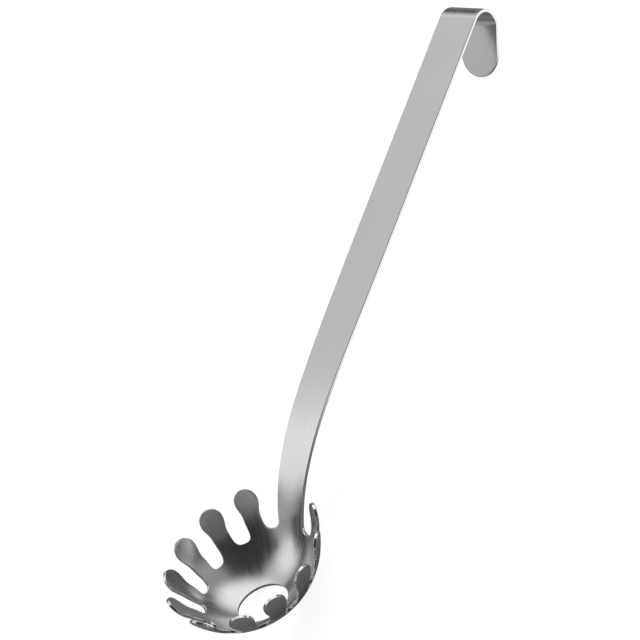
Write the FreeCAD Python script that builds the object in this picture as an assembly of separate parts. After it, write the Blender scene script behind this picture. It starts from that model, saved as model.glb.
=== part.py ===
import FreeCAD, Part
import math
import os

# Spaghetti server: a round toothed bowl and a long flat handle, stamped and
# bent from one piece of stainless steel sheet. Sizes in mm, angles in degrees.

sheet = 1.6                 # thickness of the steel sheet

# Bowl
bowl_radius = 37.9          # inside radius of the round part of the bowl
round_past_root = 1.765     # the bowl stays a sphere this far past the handle's root
rim_radius = 68.0           # the fingers curve more gently above that height
hole_radius = 12.0          # round drain hole in the bottom of the bowl

# Fingers, placed along the inside of the bowl measured from its bottom
finger_pitch = 28.0         # turn from one side finger to the next
side_finger_turn = 89.0     # turn from the handle to the middle side finger
fingers_each_side = 5       # a further finger stands opposite the handle
tip_radius = 4.5            # round end of a finger
tip_reach = 49.6            # bottom of the bowl to the middle of a finger's end
tip_reach_slope = 5.6       # fingers reach higher by this much towards the handle
gap_radius = 4.6            # round bottom of the gap between two fingers
gap_reach = 34.4            # bottom of the bowl to the middle of a gap's round
gap_reach_slope = 5.8       # gaps sit higher by this much towards the handle
gap_reach_bow = 1.1         # gaps at the handle and the front sit a little higher
gap_turn = 2.5              # turn of the gaps away from the middle, towards the front

# Root of the handle
root_reach = 40.9           # bottom of the bowl to where the handle leaves it
root_width = 14.5           # width of the sheet there
root_gap_radius = 4.1       # round bottom of the gap beside the handle

# Handle
handle_width = 21.8         # width of the straight handle
flare_length = 144.0        # the handle widens over this length from its root
neck_radius = 96.0          # radius of the backward bend above the bowl
handle_lean = 64.0          # lean of the straight handle from the bowl's axis
straight_length = 192.0     # straight part of the handle
flatten_length = 34.0       # the bowl's curve across the sheet fades out over this

# Hook at the end of the handle
hook_radius = 7.4           # inside radius of the bend
hook_turn = 146.5           # how far the sheet is bent back
leg_length = 13.3           # straight part of the leg before its round end

edge_break = 0.25           # narrow bevel that takes the sharpness off every edge

edge_share = 0.4            # of the sheet, at most, goes to a bevel

# How the parts are made up
wall_low = 0.7              # the cutting walls start inside the bowl
wall_high = 1.4             # and end outside it, as shares of its radius
neck_sections = 12          # outlines that the bend is drawn through
flat_enough = 1e-6          # the sheet counts as flat below this share of its curve
sharp_angle = 40.0          # faces that meet at more than this get a bevel

UP = FreeCAD.Vector(0, 0, 1)
SIDE = FreeCAD.Vector(1, 0, 0)
bowl_middle = FreeCAD.Vector(0, 0, bowl_radius)


def in_plane(y, z):
    """A vector in the plane of symmetry of the server."""
    return FreeCAD.Vector(0, y, z)


def unit(v):
    """The vector at length one."""
    return v * (1.0 / v.Length)


def knee_reach():
    """Distance along the bowl from its bottom to where it stops being a sphere."""
    return root_reach + round_past_root


def meridian(reach, out=0.0):
    """Point of the bowl's section at a distance from its bottom, and the rise there."""
    knee = knee_reach() / bowl_radius
    rise = reach / bowl_radius
    if rise <= knee:
        y = bowl_radius * math.sin(rise)
        z = bowl_radius * (1 - math.cos(rise))
    else:
        rise = knee + (reach - knee_reach()) / rim_radius
        y = bowl_radius * math.sin(knee) + rim_radius * (math.sin(rise) - math.sin(knee))
        z = bowl_radius * (1 - math.cos(knee)) + rim_radius * (math.cos(knee) - math.cos(rise))
    return y + out * math.sin(rise), z - out * math.cos(rise), rise


def bowl_ray(turn, reach):
    """Direction from the bowl's middle to a place on its inside, and the distance."""
    y, z, _ = meridian(reach)
    turn = math.radians(turn)
    ray = FreeCAD.Vector(-y * math.sin(turn), y * math.cos(turn), z - bowl_radius)
    return unit(ray), ray.Length


def bowl_shell():
    """The whole bowl with its hole, before its fingers are cut, turned about its axis."""
    top = tip_reach + tip_reach_slope + 2 * tip_radius
    hole = bowl_radius * math.asin(hole_radius / bowl_radius)
    knee = knee_reach()
    stops = [hole, (hole + knee) / 2, knee, (knee + top) / 2, top]

    def line_of(out):
        return [in_plane(*meridian(stop, out)[:2]) for stop in stops]

    inner = line_of(0.0)
    outer = line_of(sheet)
    edges = [
        Part.Arc(inner[0], inner[1], inner[2]).toShape(),
        Part.Arc(inner[2], inner[3], inner[4]).toShape(),
        Part.makeLine(inner[4], outer[4]),
        Part.Arc(outer[4], outer[3], outer[2]).toShape(),
        Part.Arc(outer[2], outer[1], outer[0]).toShape(),
        Part.makeLine(outer[0], inner[0]),
    ]
    return Part.Face(Part.Wire(edges)).revolve(FreeCAD.Vector(), UP, 360)


def ray_wall(start, end):
    """Flat wall between two directions from the bowl's middle."""
    low, high = bowl_radius * wall_low, bowl_radius * wall_high
    corners = [bowl_middle + start * low, bowl_middle + start * high,
               bowl_middle + end * high, bowl_middle + end * low]
    return Part.Face(Part.makePolygon(corners + corners[:1]))


def ray_round(start, end, axis, upward):
    """Round wall from one direction to another about an axis, over its top or its bottom."""
    low, high = bowl_radius * wall_low, bowl_radius * wall_high
    p = start - axis * start.dot(axis)
    q = end - axis * end.dot(axis)
    turn = math.degrees(math.atan2(axis.dot(p.cross(q)), p.dot(q))) % 360
    middle = FreeCAD.Rotation(axis, turn / 2).multVec(start)
    if (middle.z > axis.z) != upward:
        turn -= 360
    line = Part.makeLine(bowl_middle + start * low, bowl_middle + start * high)
    return line.revolve(bowl_middle, axis, turn)


def flank(tip, gap, side):
    """Where a plane through the bowl's middle touches a finger's end and a gap's round."""
    a, a_size = tip
    b, b_size = gap
    d = a.dot(b)
    x = (math.sin(a_size) + d * math.sin(b_size)) / (1 - d * d)
    y = (-math.sin(b_size) - d * math.sin(a_size)) / (1 - d * d)
    z = math.sqrt(1 - (x * x + y * y + 2 * d * x * y))
    normal = a * x + b * y + unit(a.cross(b)) * (side * z)
    on_tip = unit(a - normal * math.sin(a_size))
    on_gap = unit(b + normal * math.sin(b_size))
    return on_tip, on_gap


def mirrored(v):
    """The same direction on the other side of the handle."""
    return FreeCAD.Vector(-v.x, v.y, v.z)


def round_at(turn, reach, radius):
    """A round end or gap: its direction from the bowl's middle and its angular size."""
    ray, distance = bowl_ray(turn, reach)
    return ray, math.atan(radius / distance)


def finger_turns():
    """Turns of one side's fingers, from the handle to the front finger."""
    first = side_finger_turn - finger_pitch * (fingers_each_side - 1) / 2
    return [first + finger_pitch * i for i in range(fingers_each_side)] + [180.0]


def finger_ends():
    """The round ends of one side's fingers and of the front finger."""
    ends = []
    for turn in finger_turns():
        reach = tip_reach + tip_reach_slope * math.cos(math.radians(turn))
        ends.append(round_at(turn, reach, tip_radius))
    return ends


def root_ray():
    """Direction from the bowl's middle to where the handle leaves the bowl."""
    return bowl_ray(0.0, root_reach)[0]


def root_edge():
    """Direction to the left corner of the handle's root."""
    swing = math.asin(root_width / 2 / bowl_radius)
    return root_ray() * math.cos(swing) - SIDE * math.sin(swing)


def root_gap():
    """The gap beside the handle, its round running on into the handle's edge."""
    size = math.atan(root_gap_radius / bowl_radius)
    edge = root_edge()
    up = unit(SIDE.cross(root_ray()))
    out = unit(up.cross(edge))
    flare = math.atan((handle_width - root_width) / flare_length)
    across = out * math.cos(flare) - up * math.sin(flare)
    ray = edge * math.cos(size) + across * math.sin(size)
    return ray, size


def finger_gaps():
    """The gaps of one side, from the handle to the front."""
    gaps = [root_gap()]
    turns = finger_turns()
    for before, after in zip(turns, turns[1:]):
        middle = math.radians((before + after) / 2)
        reach = (gap_reach + gap_reach_slope * math.cos(middle)
                 + gap_reach_bow * math.cos(2 * middle))
        shift = gap_turn * (1 - math.cos(middle)) * math.sin(middle)
        gaps.append(round_at(math.degrees(middle) + shift, reach, gap_radius))
    return gaps


def outline_walls():
    """Walls from the bowl's middle along the outline of the fingers and gaps."""
    ends = finger_ends()
    gaps = finger_gaps()
    walls = []
    before = root_edge()
    for end, gap, next_gap in zip(ends, gaps, gaps[1:]):
        near_tip, near_gap = flank(end, gap, 1)
        far_tip, far_gap = flank(end, next_gap, -1)
        walls.append(ray_round(before, near_gap, gap[0], False))
        walls.append(ray_wall(near_gap, near_tip))
        walls.append(ray_round(near_tip, far_tip, end[0], True))
        walls.append(ray_wall(far_tip, far_gap))
        before = far_gap
    tip, root = flank(ends[-1], gaps[-1], 1)
    walls.append(ray_round(before, root, gaps[-1][0], False))
    walls.append(ray_wall(root, tip))
    walls = walls + [wall.mirror(FreeCAD.Vector(), SIDE) for wall in walls]
    walls.append(ray_round(tip, mirrored(tip), ends[-1][0], True))
    walls.append(ray_wall(root_edge(), mirrored(root_edge())))
    return walls


def toothed_bowl():
    """The bowl inside the outline of its fingers, cut square where the handle starts."""
    parted = bowl_shell().generalFuse(outline_walls())[0]
    return min(parted.Solids, key=lambda solid: solid.BoundBox.ZMin)


def strip_width(run):
    """Width of the handle at a distance from its root."""
    left = max(0.0, 1 - run / flare_length)
    return handle_width - (handle_width - root_width) * left * left


class Strip:
    """The line that the front face of the handle follows in the plane of symmetry."""

    def __init__(self):
        rise = root_reach / bowl_radius
        self.root_lean = math.pi / 2 - rise
        self.lean = math.radians(handle_lean)
        self.neck_middle = bowl_middle + root_ray() * (bowl_radius + neck_radius)
        self.neck_length = neck_radius * (self.lean - self.root_lean)
        self.along = in_plane(math.sin(self.lean), math.cos(self.lean))
        self.front = in_plane(-math.cos(self.lean), math.sin(self.lean))
        self.neck_end = self.neck_middle + self.front * neck_radius
        self.hook_start = self.neck_end + self.along * straight_length
        self.hook_middle = self.hook_start - self.front * (hook_radius + sheet)
        back = FreeCAD.Rotation(SIDE, -hook_turn)
        self.leg_along = back.multVec(self.along)
        self.leg_front = back.multVec(self.front)
        self.leg_start = self.hook_middle + self.leg_front * (hook_radius + sheet)
        self.leg_tip = self.leg_start + self.leg_along * (leg_length + handle_width / 2)

    def neck_point(self, run, depth=0.0):
        """Place on the middle line of the bend, a depth behind the front face."""
        lean = self.root_lean + run / neck_radius
        front = in_plane(-math.cos(lean), math.sin(lean))
        return self.neck_middle + front * (neck_radius - depth), front


def neck_section(strip, run):
    """Outline of the sheet across the bend; it starts curved like the bowl and ends flat."""
    half = strip_width(run) / 2
    middle, front = strip.neck_point(run)
    left = max(0.0, 1 - run / flatten_length)
    fade = left * left * (3 - 2 * left)
    if fade < flat_enough:
        a = middle - SIDE * half
        b = middle + SIDE * half
        back = front * -sheet
        return Part.makePolygon([a, b, b + back, a + back, a])
    radius = bowl_radius / fade
    swing = math.asin(half / radius)
    centre = middle + front * radius

    def corner(size, turn):
        return centre - front * (size * math.cos(turn)) + SIDE * (size * math.sin(turn))

    thick = radius + sheet
    inner = Part.Arc(corner(radius, -swing), corner(radius, 0.0), corner(radius, swing))
    outer = Part.Arc(corner(thick, swing), corner(thick, 0.0), corner(thick, -swing))
    edges = [
        inner.toShape(),
        Part.makeLine(corner(radius, swing), corner(thick, swing)),
        outer.toShape(),
        Part.makeLine(corner(thick, -swing), corner(radius, -swing)),
    ]
    return Part.Wire(edges)


def neck(strip):
    """The bend that carries the bowl over into the flat handle."""
    runs = [strip.neck_length * i / neck_sections for i in range(neck_sections + 1)]
    return Part.makeLoft([neck_section(strip, run) for run in runs], True, False)


def straight_handle(strip):
    """The straight part of the handle, its sides still widening at first."""
    flare_left = flare_length - strip.neck_length
    start = strip_width(strip.neck_length) / 2
    full = handle_width / 2

    def place(run, side):
        return strip.neck_end + strip.along * run + SIDE * side

    def side_curve(sign):
        curve = Part.BezierCurve()
        curve.setPoles([place(0, sign * start), place(flare_left / 2, sign * full),
                        place(flare_left, sign * full)])
        return curve.toShape()

    edges = [
        side_curve(-1),
        Part.makeLine(place(flare_left, -full), place(straight_length, -full)),
        Part.makeLine(place(straight_length, -full), place(straight_length, full)),
        Part.makeLine(place(straight_length, full), place(flare_left, full)),
        side_curve(1),
        Part.makeLine(place(0, start), place(0, -start)),
    ]
    outline = Part.Face(Part.Wire(Part.__sortEdges__(edges)))
    return outline.extrude(strip.front * -sheet)


def hook(strip):
    """The bend back at the end of the handle and its leg with a round end."""
    full = handle_width / 2
    a = strip.hook_start - SIDE * full
    b = strip.hook_start + SIDE * full
    back = strip.front * -sheet
    end = Part.Face(Part.makePolygon([a, b, b + back, a + back, a]))
    bend = end.revolve(strip.hook_middle, SIDE, -hook_turn)
    left = strip.leg_start - SIDE * full
    right = strip.leg_start + SIDE * full
    down = strip.leg_along * leg_length
    edges = [
        Part.makeLine(left, left + down),
        Part.Arc(left + down, strip.leg_tip, right + down).toShape(),
        Part.makeLine(right + down, right),
        Part.makeLine(right, left),
    ]
    leg = Part.Face(Part.Wire(edges)).extrude(strip.leg_front * -sheet)
    return bend.fuse(leg)


def sharp_edges(shape):
    """Edges where two faces of the sheet meet at a clear angle."""
    found = []
    for edge in shape.Edges:
        faces = shape.ancestorsOfType(edge, Part.Face)
        if len(faces) < 2:
            continue
        middle = edge.valueAt((edge.FirstParameter + edge.LastParameter) / 2)
        first, second = [face.normalAt(*face.Surface.parameter(middle)) for face in faces[:2]]
        if first.getAngle(second) > math.radians(sharp_angle):
            found.append(edge)
    return found


def at_rest(server, strip):
    """The server as it lies on a table, on its bowl and the end of its leg."""
    touch = strip.leg_tip - strip.leg_along * bevel_size()
    apart = touch - bowl_middle
    drop = math.asin(-(bowl_radius + sheet) / apart.Length)
    turn = drop - math.atan2(apart.z, apart.y)
    lie = FreeCAD.Placement(FreeCAD.Vector(), FreeCAD.Rotation(SIDE, math.degrees(turn)))
    lain = server.transformed(lie.toMatrix(), True)
    middle = lie.multVec(bowl_middle)
    box = lain.optimalBoundingBox(False, False)
    shift = FreeCAD.Vector(0, -(box.YMin + box.YMax) / 2, bowl_radius + sheet - middle.z)
    lift = FreeCAD.Placement(shift, FreeCAD.Rotation())
    return lain.transformed(lift.toMatrix(), True)


def bevel_size():
    """Width of the bevels, which never take up the whole thickness."""
    return min(edge_break, edge_share * sheet)


def main():
    os.makedirs("parts", exist_ok=True)
    strip = Strip()
    pieces = [neck(strip), straight_handle(strip), hook(strip)]
    server = toothed_bowl().multiFuse(pieces).removeSplitter().Solids[0]
    server = server.makeChamfer(bevel_size(), sharp_edges(server))
    server = at_rest(server, strip)
    server.exportStep("parts/spaghetti_server.step")


main()
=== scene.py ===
import bpy
import math
from mathutils import Matrix, Vector
from mathutils.geometry import delaunay_2d_cdt
from mathutils.kdtree import KDTree


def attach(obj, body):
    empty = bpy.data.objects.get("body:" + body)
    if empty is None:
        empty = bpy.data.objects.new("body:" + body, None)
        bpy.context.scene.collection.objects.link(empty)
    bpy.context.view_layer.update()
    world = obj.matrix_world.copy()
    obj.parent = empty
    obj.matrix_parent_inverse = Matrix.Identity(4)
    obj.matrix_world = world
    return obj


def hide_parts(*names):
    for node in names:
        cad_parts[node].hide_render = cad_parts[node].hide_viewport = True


# Looks of the spaghetti server: satin brushed stainless steel, lying on a plain
# white table under soft studio light. The sheet's own sizes are in millimetres and
# degrees, as the steel is formed; places in the scene are in metres.

MM = 0.001

SHEET = 1.6                 # thickness of the steel
EDGE_ROUND = 0.35           # radius that takes the sharpness off every edge

# The bowl. A reach is a distance from its bottom, measured along the steel, and a
# turn goes around the bowl from the handle.
BOWL_RADIUS = 37.9          # inside of the bowl
KNEE_REACH = 42.665         # the bowl is a sphere up to this reach
RIM_RADIUS = 68.0           # above it the steel curves more gently
HOLE_RADIUS = 12.0          # drain hole in its bottom

FINGER_PITCH = 27.5         # turn from one side finger to the next
SIDE_FINGER_TURN = 89.0     # turn of the middle side finger
FINGERS_EACH_SIDE = 5       # a further finger stands opposite the handle
HEAD_RADIUS = 5.5           # round head of a finger
HEAD_RISE = 3.3             # how gently a finger widens into its head
TIP_REACH = 53.0            # reach of the very end of a finger
TIP_REACH_SLOPE = 6.4       # fingers reach higher by up to this much towards the handle
WAIST_HALF = 4.0            # half width of a finger where it is narrowest
WAIST_DROP = 8.0            # the waist lies this far below the middle of the head

GAP_REACH = 30.9            # reach of the bottom of a gap between two fingers
GAP_REACH_SLOPE = 5.8       # gaps lie higher by up to this much towards the handle
GAP_REACH_BOW = 1.1         # and lower by this much at the sides
GAP_TURN = 2.5              # gaps away from the handle lean towards the front finger
GAP_PULL = 4.0              # gaps near the handle lean towards it
GAP_BELLY = 4.6             # how round a gap's bottom is
GAP_RISE = 5.6              # how gently its sides turn into the waists

ROOT_REACH = 40.9           # reach of the handle's root
ROOT_WIDTH = 14.5           # width of the handle there
ROOT_GAP_WIDTH = 4.1        # half width of the gap beside the handle
ROOT_GAP_DROP = 3.0         # its bottom lies this far below the handle's root
ROOT_GAP_BELLY = 2.4        # how round its bottom is

# The handle.
HANDLE_WIDTH = 21.8
FLARE_LENGTH = 144.0        # it reaches its full width this far from its root
HANDLE_LEAN = 64.0          # lean of its straight part from the bowl's upright axis
STRAIGHT_LENGTH = 192.0     # from the neck's bend to the hook
NECK_RADIUS = 96.0
NECK_EASE = 45.0            # the bend dies away over this much of the straight part
NECK_EASE_GRIP = 50.0       # how slowly it does
FLATTEN_LENGTH = 34.0       # the bowl's roundness fades out over this much of the neck
HOOK_RADIUS = 7.4           # inside of the hook
HOOK_TURN = 146.5
LEG_LENGTH = 13.3           # straight part of the hook before its round end

REST_TURN = -25.376         # turn of the formed sheet as it lies on the table
BOWL_MIDDLE = (0.0, -120.05, 39.5)      # where the middle of the bowl's sphere then is

# How finely the sheet is divided.
EDGE_STEPS = 3
COLUMNS = 12                # across the handle
CURVE_STEPS = 12            # in each curve of the fingers' outline
NECK_STEPS = 48
STRAIGHT_STEPS = 24
HOOK_STEPS = 30
LEG_STEPS = 4
END_STEPS = 14              # around half of the leg's round end
HOLE_STEPS = 84
GRID_STEP = 1.3             # distance between the points inside the bowl's outline
CLEAR_OF_EDGE = 0.75        # share of that distance kept free along the outline
FLAT = 1e-4                 # anything smaller counts as nothing
QUARTER = 0.5523            # draws a quarter circle with one Bezier piece

# The camera: place in metres, turn in degrees, lens and film in millimetres.
CAMERA_PLACE = (0.95814, -0.35389, 1.00622)
CAMERA_TURN = (31.543, 36.116, 26.438)
CAMERA_LENS = 175.26
CAMERA_SENSOR = 36.0
CAMERA_FAR = 20.0           # nothing lies further away, in metres

# Soft patches of light: turn from the handle's direction and height in degrees,
# half-width of the even middle and of the whole patch, strength.
LIGHT_PATCHES = (
    (-14.0, 38.0, 6.0, 39.0, 1.08),
    (-108.0, 46.0, 4.0, 25.0, 0.4),
    (-80.0, 46.0, 8.0, 40.0, 0.62),
    (-142.0, 32.0, 5.0, 32.0, 0.38),
    (38.0, 24.0, 5.0, 34.0, 0.3),
    (62.0, 14.0, 5.0, 26.0, 0.1),
    (160.0, 14.0, 4.0, 27.0, 0.22),
    (-165.0, 12.0, 5.0, 34.0, 0.16),
    (112.0, 14.0, 5.0, 26.0, 0.12),
)
DIM_LIGHT = 0.04            # light that comes from everywhere
WHITE = (1.0, 1.0, 1.0, 1.0)

STEEL_TINT = (0.76, 0.755, 0.75, 1.0)
CLOUD_TINT = (0.69, 0.685, 0.68, 1.0)   # faint darker clouds
RIM_TINT = (0.86, 0.86, 0.855, 1.0)     # edges, brighter from use
STEEL_ROUGH = 0.22
ROUGH_SPREAD = 0.05                     # the grain changes the roughness by this much
RIM_ROUGH = 0.12
GRAIN_SPAN = (0.3, 0.7)                 # lightest and darkest of the grain
GRAIN_DEPTH = 0.00004
GRAIN_STRENGTH = 0.035
HANDLE_GRAIN = (2400.0, 22.0, 300.0)    # fine lines along the handle
HANDLE_DETAIL = 3.0
BOWL_GRAIN = 40.0                       # fine lines that fan out from the bowl's bottom
BOWL_GRAIN_ALONG = 45.0
BOWL_DETAIL = 4.0
CLOUDS = (70.0, 24.0, 70.0)
CLOUD_DETAIL = 2.0
BOWL_EDGE = (-0.085, -0.06)             # the handle's grain takes over between these

FLOOR_SIZE = 8.0
FLOOR_TINT = (0.5, 0.5, 0.5, 1.0)
FLOOR_LIFT = 0.89                       # what makes the table white where the camera sees it
FLOOR_REFLECTION_GLOW = 0.9                       # glow painted on the table beside the handle, seen only in the steel's reflections: a painted reflection that gives the handle its bright side edge
FLOOR_GLOW_START = (-0.07, 0.0)
FLOOR_GLOW_SIDE = (0.011, 0.02)


def node(tree, kind, **values):
    """Adds a shader node and sets what it does by name."""
    made = tree.nodes.new(kind)
    for name, value in values.items():
        setattr(made, name, value)
    return made


def stretched_noise(tree, vector, scale, detail):
    """Noise stretched by a different scale along each direction."""
    stretch = node(tree, "ShaderNodeMapping")
    stretch.inputs["Scale"].default_value = scale
    tree.links.new(vector, stretch.inputs["Vector"])
    noise = node(tree, "ShaderNodeTexNoise")
    noise.inputs["Scale"].default_value = 1.0
    noise.inputs["Detail"].default_value = detail
    tree.links.new(stretch.outputs["Vector"], noise.inputs["Vector"])
    return noise.outputs["Fac"]


def ramp(tree, value, source, target):
    """Value taken smoothly from one span to another."""
    made = node(tree, "ShaderNodeMapRange", interpolation_type="SMOOTHSTEP")
    made.inputs["From Min"].default_value, made.inputs["From Max"].default_value = source
    made.inputs["To Min"].default_value, made.inputs["To Max"].default_value = target
    tree.links.new(value, made.inputs["Value"])
    return made.outputs["Result"]


def blend(tree, kind, share, first, second):
    """Mix of two values or colours by a share."""
    made = node(tree, "ShaderNodeMix", data_type=kind)
    suffix = {"FLOAT": "Float", "RGBA": "Color"}[kind]
    tree.links.new(share, next(i for i in made.inputs if i.identifier == "Factor_Float"))
    for name, value in (("A", first), ("B", second)):
        socket = next(i for i in made.inputs if i.identifier == f"{name}_{suffix}")
        if isinstance(value, bpy.types.NodeSocket):
            tree.links.new(value, socket)
        else:
            socket.default_value = value
    return next(o for o in made.outputs if o.identifier == f"Result_{suffix}")


def fanned_grain(tree, place):
    """Fine lines that fan out from the bottom of the bowl up its sides."""
    local = node(tree, "ShaderNodeMapping", vector_type="TEXTURE")
    local.inputs["Location"].default_value = [value * MM for value in BOWL_MIDDLE]
    local.inputs["Rotation"].default_value = (math.radians(REST_TURN), 0.0, 0.0)
    tree.links.new(place, local.inputs["Vector"])
    parts = node(tree, "ShaderNodeSeparateXYZ")
    tree.links.new(local.outputs["Vector"], parts.inputs["Vector"])
    level = node(tree, "ShaderNodeCombineXYZ")
    tree.links.new(parts.outputs["X"], level.inputs["X"])
    tree.links.new(parts.outputs["Y"], level.inputs["Y"])
    way = node(tree, "ShaderNodeVectorMath", operation="NORMALIZE")
    tree.links.new(level.outputs["Vector"], way.inputs[0])
    wide = node(tree, "ShaderNodeVectorMath", operation="SCALE")
    wide.inputs["Scale"].default_value = BOWL_GRAIN
    tree.links.new(way.outputs["Vector"], wide.inputs[0])
    high = node(tree, "ShaderNodeMath", operation="MULTIPLY")
    high.inputs[1].default_value = BOWL_GRAIN_ALONG
    tree.links.new(parts.outputs["Z"], high.inputs[0])
    rise = node(tree, "ShaderNodeCombineXYZ")
    tree.links.new(high.outputs["Value"], rise.inputs["Z"])
    both = node(tree, "ShaderNodeVectorMath", operation="ADD")
    tree.links.new(wide.outputs["Vector"], both.inputs[0])
    tree.links.new(rise.outputs["Vector"], both.inputs[1])
    return stretched_noise(tree, both.outputs["Vector"], (1.0, 1.0, 1.0), BOWL_DETAIL)


def brushed_steel():
    """Satin steel: fine grain, faint clouds, and edges polished a little by use."""
    material = bpy.data.materials.new("steel")
    material.use_nodes = True
    tree = material.node_tree
    tree.nodes.clear()
    out = node(tree, "ShaderNodeOutputMaterial")
    shader = node(tree, "ShaderNodeBsdfPrincipled")
    shader.inputs["Metallic"].default_value = 1.0
    tree.links.new(shader.outputs["BSDF"], out.inputs["Surface"])
    place = node(tree, "ShaderNodeTexCoord").outputs["Object"]
    parts = node(tree, "ShaderNodeSeparateXYZ")
    tree.links.new(place, parts.inputs["Vector"])
    on_handle = ramp(tree, parts.outputs["Y"], BOWL_EDGE, (0.0, 1.0))
    along = stretched_noise(tree, place, HANDLE_GRAIN, HANDLE_DETAIL)
    grain = blend(tree, "FLOAT", on_handle, fanned_grain(tree, place), along)
    clouds = stretched_noise(tree, place, CLOUDS, CLOUD_DETAIL)
    rim = node(tree, "ShaderNodeAttribute", attribute_name="rim").outputs["Fac"]
    tint = blend(tree, "RGBA", clouds, STEEL_TINT, CLOUD_TINT)
    tint = blend(tree, "RGBA", rim, tint, RIM_TINT)
    tree.links.new(tint, shader.inputs["Base Color"])
    rough = ramp(tree, grain, GRAIN_SPAN,
                 (STEEL_ROUGH - ROUGH_SPREAD, STEEL_ROUGH + ROUGH_SPREAD))
    rough = blend(tree, "FLOAT", rim, rough, RIM_ROUGH)
    tree.links.new(rough, shader.inputs["Roughness"])
    bump = node(tree, "ShaderNodeBump")
    bump.inputs["Strength"].default_value = GRAIN_STRENGTH
    bump.inputs["Distance"].default_value = GRAIN_DEPTH
    tree.links.new(grain, bump.inputs["Height"])
    tree.links.new(bump.outputs["Normal"], shader.inputs["Normal"])
    return material


def bowl_section(reach):
    """How far out and how high the bowl's inside is at a reach, and how steeply it rises."""
    knee = KNEE_REACH / BOWL_RADIUS
    rise = reach / BOWL_RADIUS
    if rise <= knee:
        y = BOWL_RADIUS * math.sin(rise)
        z = -BOWL_RADIUS * math.cos(rise)
    else:
        rise = knee + (reach - KNEE_REACH) / RIM_RADIUS
        y = BOWL_RADIUS * math.sin(knee) + RIM_RADIUS * (math.sin(rise) - math.sin(knee))
        z = -BOWL_RADIUS * math.cos(knee) + RIM_RADIUS * (math.cos(knee) - math.cos(rise))
    return y, z, rise


def bowl_place(turn, reach):
    """Place on the inside of the bowl, from the bowl's middle, and the way it faces."""
    y, z, rise = bowl_section(reach)
    place = Vector((-y * math.sin(turn), y * math.cos(turn), z))
    facing = Vector((math.sin(rise) * math.sin(turn), -math.sin(rise) * math.cos(turn),
                     math.cos(rise)))
    return place, facing


def bowl_reach(place):
    """Turn and reach of a place on or close to the inside of the bowl."""
    turn = math.atan2(-place.x, place.y)
    y = math.hypot(place.x, place.y)
    rise = math.atan2(y, -place.z)
    knee = KNEE_REACH / BOWL_RADIUS
    if rise <= knee:
        return turn, rise * BOWL_RADIUS
    more = RIM_RADIUS - BOWL_RADIUS
    rise = math.atan2(y + more * math.sin(knee), more * math.cos(knee) - place.z)
    return turn, KNEE_REACH + (rise - knee) * RIM_RADIUS


def bezier(a, b, c, d):
    """Points of one Bezier piece after its first, in turn and reach."""
    points = []
    for step in range(1, CURVE_STEPS + 1):
        t = step / CURVE_STEPS
        u = 1.0 - t
        points.append(a * u ** 3 + b * (3 * u * u * t) + c * (3 * u * t * t) + d * t ** 3)
    return points


def beside(turn, reach, side, up=0.0):
    """Turn and reach of a place beside and above another, by its distances along the sheet."""
    around = bowl_section(reach + up)[0]
    return Vector((turn + side / around, reach + up))


def root_corner():
    """Turn and reach of the handle's root on the left side."""
    swing = ROOT_WIDTH / 2 / BOWL_RADIUS
    rise = ROOT_REACH / BOWL_RADIUS
    ray = Vector((-math.sin(swing), math.sin(rise) * math.cos(swing),
                  -math.cos(rise) * math.cos(swing)))
    return Vector(bowl_reach(ray * BOWL_RADIUS))


def finger_outline():
    """Outline of one side from the handle's root to the end of the front finger."""
    corner = root_corner()
    first = SIDE_FINGER_TURN - FINGER_PITCH * (FINGERS_EACH_SIDE - 1) / 2
    turns = [math.radians(first + FINGER_PITCH * i) for i in range(FINGERS_EACH_SIDE)]
    turns.append(math.pi)
    bottoms = [beside(corner.x, corner.y, ROOT_GAP_WIDTH, -ROOT_GAP_DROP)]
    for before, after in zip(turns, turns[1:]):
        middle = (before + after) / 2
        reach = (GAP_REACH + GAP_REACH_SLOPE * math.cos(middle)
                 + GAP_REACH_BOW * math.cos(2 * middle))
        shift = math.radians(GAP_TURN) * (1 - math.cos(middle)) * math.sin(middle)
        shift -= math.radians(GAP_PULL) * max(0.0, math.cos(middle))
        bottoms.append(Vector((middle + shift, reach)))
    low = bottoms[0]
    points = [corner]
    points += bezier(corner, corner - Vector((0.0, ROOT_GAP_DROP * QUARTER)),
                     beside(low.x, low.y, -ROOT_GAP_WIDTH * QUARTER), low)
    # Each finger: up its near side, around its head and down its far side to the next gap.
    for number, turn in enumerate(turns):
        end = TIP_REACH + TIP_REACH_SLOPE * math.cos(turn)
        head = end - HEAD_RADIUS
        waist = head - WAIST_DROP
        low = bottoms[number]
        tip = Vector((turn, end))
        side = []
        for sign in (-1, 1):
            narrow = beside(turn, waist, sign * WAIST_HALF)
            wide = beside(turn, head, sign * HEAD_RADIUS)
            side.append((
                beside(turn, waist - GAP_RISE, sign * WAIST_HALF), narrow,
                beside(turn, waist + HEAD_RISE, sign * WAIST_HALF),
                beside(turn, head - HEAD_RISE, sign * HEAD_RADIUS), wide,
                beside(turn, head + HEAD_RADIUS * QUARTER, sign * HEAD_RADIUS),
                beside(turn, end, sign * HEAD_RADIUS * QUARTER)))
        under, narrow, above, below, wide, over, across = side[0]
        belly = GAP_BELLY if number else ROOT_GAP_BELLY
        points += bezier(low, beside(low.x, low.y, belly), under, narrow)
        points += bezier(narrow, above, below, wide)
        points += bezier(wide, over, across, tip)
        if number == len(turns) - 1:
            break
        under, narrow, above, below, wide, over, across = side[1]
        low = bottoms[number + 1]
        points += bezier(tip, across, over, wide)
        points += bezier(wide, below, above, narrow)
        points += bezier(narrow, under, beside(low.x, low.y, -GAP_BELLY), low)
    return points


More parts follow.
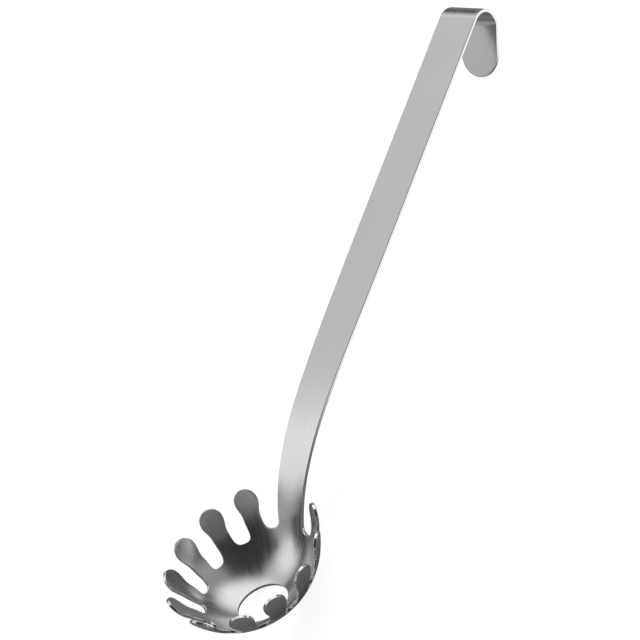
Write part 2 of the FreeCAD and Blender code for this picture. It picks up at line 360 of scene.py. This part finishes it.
def strip_rows():
    """Rows of the handle from its root to the round end: middle, facing, run and half width."""
    rise = ROOT_REACH / BOWL_RADIUS
    lean = math.radians(HANDLE_LEAN)
    root = Vector((0.0, math.sin(rise), -math.cos(rise))) * BOWL_RADIUS
    start_along = Vector((0.0, math.cos(rise), math.sin(rise)))
    along = Vector((0.0, math.sin(lean), math.cos(lean)))
    front = Vector((0.0, -math.cos(lean), math.sin(lean)))
    turn = lean - (math.pi / 2 - rise)
    to_corner = NECK_RADIUS * math.tan(turn / 2)
    corner = root + start_along * to_corner
    neck_end = corner + along * to_corner
    hook_start = neck_end + along * STRAIGHT_LENGTH
    ease_end = neck_end + along * NECK_EASE
    grip = ease_end - along * NECK_EASE_GRIP
    # The neck bends out of the bowl and eases into the straight handle.
    rows = []
    run = 0.0
    before = root
    for step in range(NECK_STEPS + 1):
        t = step / NECK_STEPS
        u = 1.0 - t
        place = (root * u ** 3 + corner * (3 * u * u * t) + grip * (3 * u * t * t)
                 + ease_end * t ** 3)
        way = ((corner - root) * (u * u) + (grip - corner) * (2 * u * t)
               + (ease_end - grip) * (t * t)).normalized()
        run += (place - before).length
        before = place
        rows.append((place, Vector((0.0, -way.z, way.y)), run))
    straight = (hook_start - ease_end).length
    for step in range(1, STRAIGHT_STEPS + 1):
        share = step / STRAIGHT_STEPS
        rows.append((ease_end + along * (straight * share), front, run + straight * share))
    run += straight
    # The hook bends back around a point behind the handle and ends in a straight leg.
    outer = HOOK_RADIUS + SHEET
    middle = hook_start - front * outer
    for step in range(1, HOOK_STEPS + 1):
        bend = Matrix.Rotation(-math.radians(HOOK_TURN) * step / HOOK_STEPS, 3, "X")
        facing = bend @ front
        rows.append((middle + facing * outer, facing, run))
    facing = rows[-1][1]
    leg_start = rows[-1][0]
    down = bend @ along
    for step in range(1, LEG_STEPS + 1):
        rows.append((leg_start + down * (LEG_LENGTH * step / LEG_STEPS), facing, run))
    rows = [(place, facing, run, strip_half(run) - EDGE_ROUND) for place, facing, run in rows]
    end_middle = leg_start + down * LEG_LENGTH
    end_half = HANDLE_WIDTH / 2 - EDGE_ROUND
    for step in range(1, END_STEPS + 1):
        swing = math.pi / 2 * step / END_STEPS
        rows.append((end_middle + down * (end_half * math.sin(swing)), facing, run,
                     end_half * math.cos(swing)))
    return rows


def strip_half(run):
    """Half width of the handle at a distance from its root."""
    left = max(0.0, 1.0 - run / FLARE_LENGTH)
    return (HANDLE_WIDTH - (HANDLE_WIDTH - ROOT_WIDTH) * left * left) / 2


def strip_place(row, side):
    """Place on the front of the handle and the way it faces; near the bowl it is dished."""
    middle, facing, run, _ = row
    left = max(0.0, 1.0 - run / FLATTEN_LENGTH)
    fade = left * left * (3.0 - 2.0 * left)
    across = Vector((1.0, 0.0, 0.0))
    if fade < FLAT:
        return middle + across * side, facing
    radius = BOWL_RADIUS / fade
    swing = side / radius
    normal = facing * math.cos(swing) - across * math.sin(swing)
    return middle + (facing - normal) * radius, normal


def inset(points):
    """Places of a run of the bowl's outline, moved in by the edge's rounding."""
    places = [bowl_place(*point) for point in points]
    moved = []
    for index, (place, facing) in enumerate(places):
        after = places[min(index + 1, len(places) - 1)][0]
        before = places[max(index - 1, 0)][0]
        inward = facing.cross(after - before).normalized()
        moved.append(place + inward * EDGE_ROUND)
    return moved


def grid_inside(edge_points, hole_reach):
    """Even grid of points over the bowl laid flat, clear of its outline and its hole."""
    tree = KDTree(len(edge_points))
    for slot, flat in enumerate(edge_points):
        tree.insert(flat.to_3d(), slot)
    tree.balance()
    widest = max(flat.length for flat in edge_points)
    line_gap = GRID_STEP * math.sqrt(3.0) / 2.0
    lines = int(widest / line_gap) + 1
    points = []
    for line in range(-lines, lines + 1):
        offset = GRID_STEP / 2.0 * (line % 2)
        for step in range(-lines - 1, lines + 1):
            flat = Vector((step * GRID_STEP + offset, line * line_gap))
            clear = tree.find(flat.to_3d())[2] >= GRID_STEP * CLEAR_OF_EDGE
            if clear and hole_reach < flat.length < widest:
                points.append(flat)
    return points


def bowl_triangles(places, add, outline, hole, hole_reach):
    """Triangles over the bowl between its outline and its hole; adds the points they need."""
    known = outline + hole
    edge_points = []
    for index in known:
        turn, reach = bowl_reach(places[index])
        edge_points.append(Vector((reach * math.sin(turn), reach * math.cos(turn))))
    edge_count = len(outline)
    ring = [(edge_count + step, edge_count + (step + 1) % HOLE_STEPS)
            for step in range(HOLE_STEPS)]
    flats, _, faces, sources, _, origins = delaunay_2d_cdt(
        edge_points + grid_inside(edge_points, hole_reach), ring,
        [list(reversed(range(edge_count)))], 0, FLAT)
    numbers = {}
    triangles = []
    for face, origin in zip(faces, origins):
        middle = sum((flats[corner] for corner in face), Vector((0.0, 0.0))) / len(face)
        if not origin or middle.length < hole_reach * math.cos(math.pi / HOLE_STEPS):
            continue
        for corner in face:
            if corner in numbers:
                continue
            kept = [source for source in sources[corner] if source < len(known)]
            if kept:
                numbers[corner] = known[kept[0]]
            else:
                flat = flats[corner]
                numbers[corner] = add(*bowl_place(math.atan2(flat.x, flat.y), flat.length))
        triangles.append(tuple(numbers[corner] for corner in face))
    return triangles


def steel_sheet():
    """The whole server as one formed sheet with softly rounded edges."""
    places = []
    facings = []
    triangles = []

    def add(place, facing):
        places.append(place)
        facings.append(facing)
        return len(places) - 1

    rows = []
    for row in strip_rows():
        half = row[3]
        if half < FLAT:
            tip = add(*strip_place(row, 0.0))
            rows.append([tip] * (COLUMNS + 1))
            continue
        sides = [half * (2.0 * column / COLUMNS - 1.0) for column in range(COLUMNS + 1)]
        rows.append([add(*strip_place(row, side)) for side in sides])
    for low, high in zip(rows, rows[1:]):
        for a, b, c, d in zip(low, low[1:], high[1:], high):
            triangles += [(a, b, c), (a, c, d)] if c != d else [(a, b, c)]

    left_side = inset(finger_outline())
    tip = left_side[-1]
    left_side[-1] = Vector((0.0, tip.y, tip.z))
    right_side = [Vector((-place.x, place.y, place.z)) for place in left_side[:-1]]
    around = [add(*bowl_place(*bowl_reach(place))) for place in left_side[1:]]
    around += [add(*bowl_place(*bowl_reach(place))) for place in reversed(right_side[1:])]
    hole_reach = BOWL_RADIUS * math.asin(HOLE_RADIUS / BOWL_RADIUS) + EDGE_ROUND
    hole = [add(*bowl_place(2 * math.pi * step / HOLE_STEPS, hole_reach))
            for step in range(HOLE_STEPS)]
    outline = [rows[0][0]] + around + [rows[0][-1]] + rows[0][-2:0:-1]

    triangles += bowl_triangles(places, add, outline, hole, hole_reach)

    outer_edge = [row[0] for row in rows[:-1]] + [rows[-1][0]]
    outer_edge += [row[-1] for row in reversed(rows[:-1])] + list(reversed(around))
    return formed(places, facings, triangles, (outer_edge, hole))


def edge_rings(places, facings, loop):
    """Rings of places and facings around one edge of the sheet, from its front to its back."""
    outward = []
    for index, number in enumerate(loop):
        after = places[loop[(index + 1) % len(loop)]]
        before = places[loop[index - 1]]
        outward.append(facings[number].cross(after - before).normalized())
    swings = [math.pi / 2 * step / EDGE_STEPS for step in range(1, EDGE_STEPS + 1)]
    rings = []
    for side, order in ((1.0, swings), (-1.0, swings[::-1])):
        for swing in order:
            drop = EDGE_ROUND * (1.0 - math.cos(swing))
            depth = drop if side > 0.0 else SHEET - drop
            rings.append([(places[number] + out * (EDGE_ROUND * math.sin(swing))
                           - facings[number] * depth,
                           facings[number] * (side * math.cos(swing)) + out * math.sin(swing))
                          for number, out in zip(loop, outward)])
    return rings


def formed(places, facings, triangles, loops):
    """Mesh of a sheet from its front face: back face, rounded edges and smooth facings."""
    count = len(places)
    rims = [0.0] * (2 * count)
    points = list(places) + [place - facing * SHEET for place, facing in zip(places, facings)]
    normals = list(facings) + [-facing for facing in facings]
    faces = []
    for a, b, c in triangles:
        towards = (places[b] - places[a]).cross(places[c] - places[a])
        if towards.dot(facings[a]) < 0.0:
            b, c = c, b
        faces.append((a, b, c))
        faces.append((a + count, c + count, b + count))
    for loop in loops:
        rings = [list(loop)]
        for ring in edge_rings(places, facings, loop):
            rings.append(list(range(len(points), len(points) + len(ring))))
            points += [place for place, _ in ring]
            normals += [facing for _, facing in ring]
            rims += [1.0] * len(ring)
        rings.append([number + count for number in loop])
        for upper, lower in zip(rings, rings[1:]):
            for index in range(len(loop)):
                before = index - 1
                faces.append((upper[before], upper[index], lower[index], lower[before]))
    lie = Matrix.Rotation(math.radians(REST_TURN), 3, "X")
    middle = Vector(BOWL_MIDDLE)
    mesh = bpy.data.meshes.new("formed_sheet")
    mesh.from_pydata([(lie @ point + middle) * MM for point in points], [], faces)
    mesh.shade_smooth()
    mesh.attributes.new("rim", "FLOAT", "POINT").data.foreach_set("value", rims)
    mesh.normals_split_custom_set_from_vertices([lie @ normal for normal in normals])
    made = bpy.data.objects.new("formed_sheet", mesh)
    bpy.context.collection.objects.link(made)
    return made


def white_floor():
    """Plain white table top that keeps the server's soft shadow; beside the handle it has a
    painted glow that only the steel's reflections see.
    """
    bpy.ops.mesh.primitive_plane_add(size=FLOOR_SIZE, location=(0.0, 0.0, 0.0))
    floor = bpy.context.object
    floor.name = "floor"
    material = bpy.data.materials.new("floor")
    material.use_nodes = True
    tree = material.node_tree
    tree.nodes.clear()
    out = node(tree, "ShaderNodeOutputMaterial")
    matt = node(tree, "ShaderNodeBsdfDiffuse")
    matt.inputs["Color"].default_value = FLOOR_TINT
    white_and_glow = node(tree, "ShaderNodeEmission")
    white_and_glow.inputs["Color"].default_value = WHITE
    path = node(tree, "ShaderNodeLightPath")
    place = node(tree, "ShaderNodeTexCoord")
    parts = node(tree, "ShaderNodeSeparateXYZ")
    tree.links.new(place.outputs["Object"], parts.inputs["Vector"])
    # Painted reflection: the table glows beside the handle for reflection rays only, which
    # paints a bright side edge on the handle.
    glow_along = ramp(tree, parts.outputs["Y"], FLOOR_GLOW_START, (0.0, FLOOR_REFLECTION_GLOW))
    glow_beside_handle = ramp(tree, parts.outputs["X"], FLOOR_GLOW_SIDE, (0.0, 1.0))
    painted_glow = blend(tree, "FLOAT", glow_beside_handle, 0.0, glow_along)
    glow_in_reflections = node(tree, "ShaderNodeMath", operation="MULTIPLY")
    tree.links.new(path.outputs["Is Glossy Ray"], glow_in_reflections.inputs[0])
    tree.links.new(painted_glow, glow_in_reflections.inputs[1])
    # White for the camera, plus the painted glow for reflection rays.
    strength = node(tree, "ShaderNodeMath", operation="MULTIPLY_ADD")
    strength.inputs[1].default_value = FLOOR_LIFT
    tree.links.new(path.outputs["Is Camera Ray"], strength.inputs[0])
    tree.links.new(glow_in_reflections.outputs["Value"], strength.inputs[2])
    tree.links.new(strength.outputs["Value"], white_and_glow.inputs["Strength"])
    both = node(tree, "ShaderNodeAddShader")
    tree.links.new(matt.outputs["BSDF"], both.inputs[0])
    tree.links.new(white_and_glow.outputs["Emission"], both.inputs[1])
    tree.links.new(both.outputs["Shader"], out.inputs["Surface"])
    floor.data.materials.append(material)
    return floor


def lobe(tree, direction, turn, height, inner, outer, strength):
    """Soft round patch of light in the surroundings, by its middle and its two half-widths."""
    turn = math.radians(turn)
    height = math.radians(height)
    towards = (math.sin(turn) * math.cos(height), math.cos(turn) * math.cos(height),
               math.sin(height))
    near = node(tree, "ShaderNodeVectorMath", operation="DOT_PRODUCT")
    tree.links.new(direction, near.inputs[0])
    near.inputs[1].default_value = towards
    fade = node(tree, "ShaderNodeMapRange", interpolation_type="SMOOTHERSTEP")
    fade.inputs["From Min"].default_value = math.cos(math.radians(outer))
    fade.inputs["From Max"].default_value = math.cos(math.radians(inner))
    fade.inputs["To Min"].default_value = 0.0
    fade.inputs["To Max"].default_value = strength
    tree.links.new(near.outputs["Value"], fade.inputs["Value"])
    return fade.outputs["Result"]


def studio():
    """Dim surroundings with soft patches of light, white where the camera sees them."""
    world = bpy.data.worlds.new("studio")
    bpy.context.scene.world = world
    world.use_nodes = True
    tree = world.node_tree
    tree.nodes.clear()
    out = node(tree, "ShaderNodeOutputWorld")
    place = node(tree, "ShaderNodeTexCoord")
    total = None
    for patch in LIGHT_PATCHES:
        part = lobe(tree, place.outputs["Generated"], *patch)
        if total is None:
            total = part
            continue
        added = node(tree, "ShaderNodeMath", operation="ADD")
        tree.links.new(total, added.inputs[0])
        tree.links.new(part, added.inputs[1])
        total = added.outputs["Value"]
    dim = node(tree, "ShaderNodeMath", operation="ADD")
    dim.inputs[1].default_value = DIM_LIGHT
    tree.links.new(total, dim.inputs[0])
    light = node(tree, "ShaderNodeBackground")
    light.inputs["Color"].default_value = WHITE
    tree.links.new(dim.outputs["Value"], light.inputs["Strength"])
    white = node(tree, "ShaderNodeBackground")
    white.inputs["Color"].default_value = WHITE
    white.inputs["Strength"].default_value = 1.0
    path = node(tree, "ShaderNodeLightPath")
    mix = node(tree, "ShaderNodeMixShader")
    tree.links.new(path.outputs["Is Camera Ray"], mix.inputs["Fac"])
    tree.links.new(light.outputs["Background"], mix.inputs[1])
    tree.links.new(white.outputs["Background"], mix.inputs[2])
    tree.links.new(mix.outputs["Shader"], out.inputs["Surface"])


def camera():
    """Long lens from the photo's side, rolled so that the handle stands up in the picture."""
    data = bpy.data.cameras.new("camera")
    data.sensor_width = CAMERA_SENSOR
    data.lens = CAMERA_LENS
    data.clip_end = CAMERA_FAR
    made = bpy.data.objects.new("camera", data)
    bpy.context.collection.objects.link(made)
    made.location = CAMERA_PLACE
    made.rotation_euler = [math.radians(turn) for turn in CAMERA_TURN]
    bpy.context.scene.camera = made


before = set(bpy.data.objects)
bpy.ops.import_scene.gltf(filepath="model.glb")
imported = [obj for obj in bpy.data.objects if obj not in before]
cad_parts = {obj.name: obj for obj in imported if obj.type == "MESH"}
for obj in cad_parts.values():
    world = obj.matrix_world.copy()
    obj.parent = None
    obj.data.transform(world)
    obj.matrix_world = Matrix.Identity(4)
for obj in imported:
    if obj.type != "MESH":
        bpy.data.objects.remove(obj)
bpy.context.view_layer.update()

server = steel_sheet()
server.data.materials.append(brushed_steel())
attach(server, "root")
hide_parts("spaghetti_server")

white_floor()
studio()
camera()
bpy.context.scene.view_settings.view_transform = "Standard"
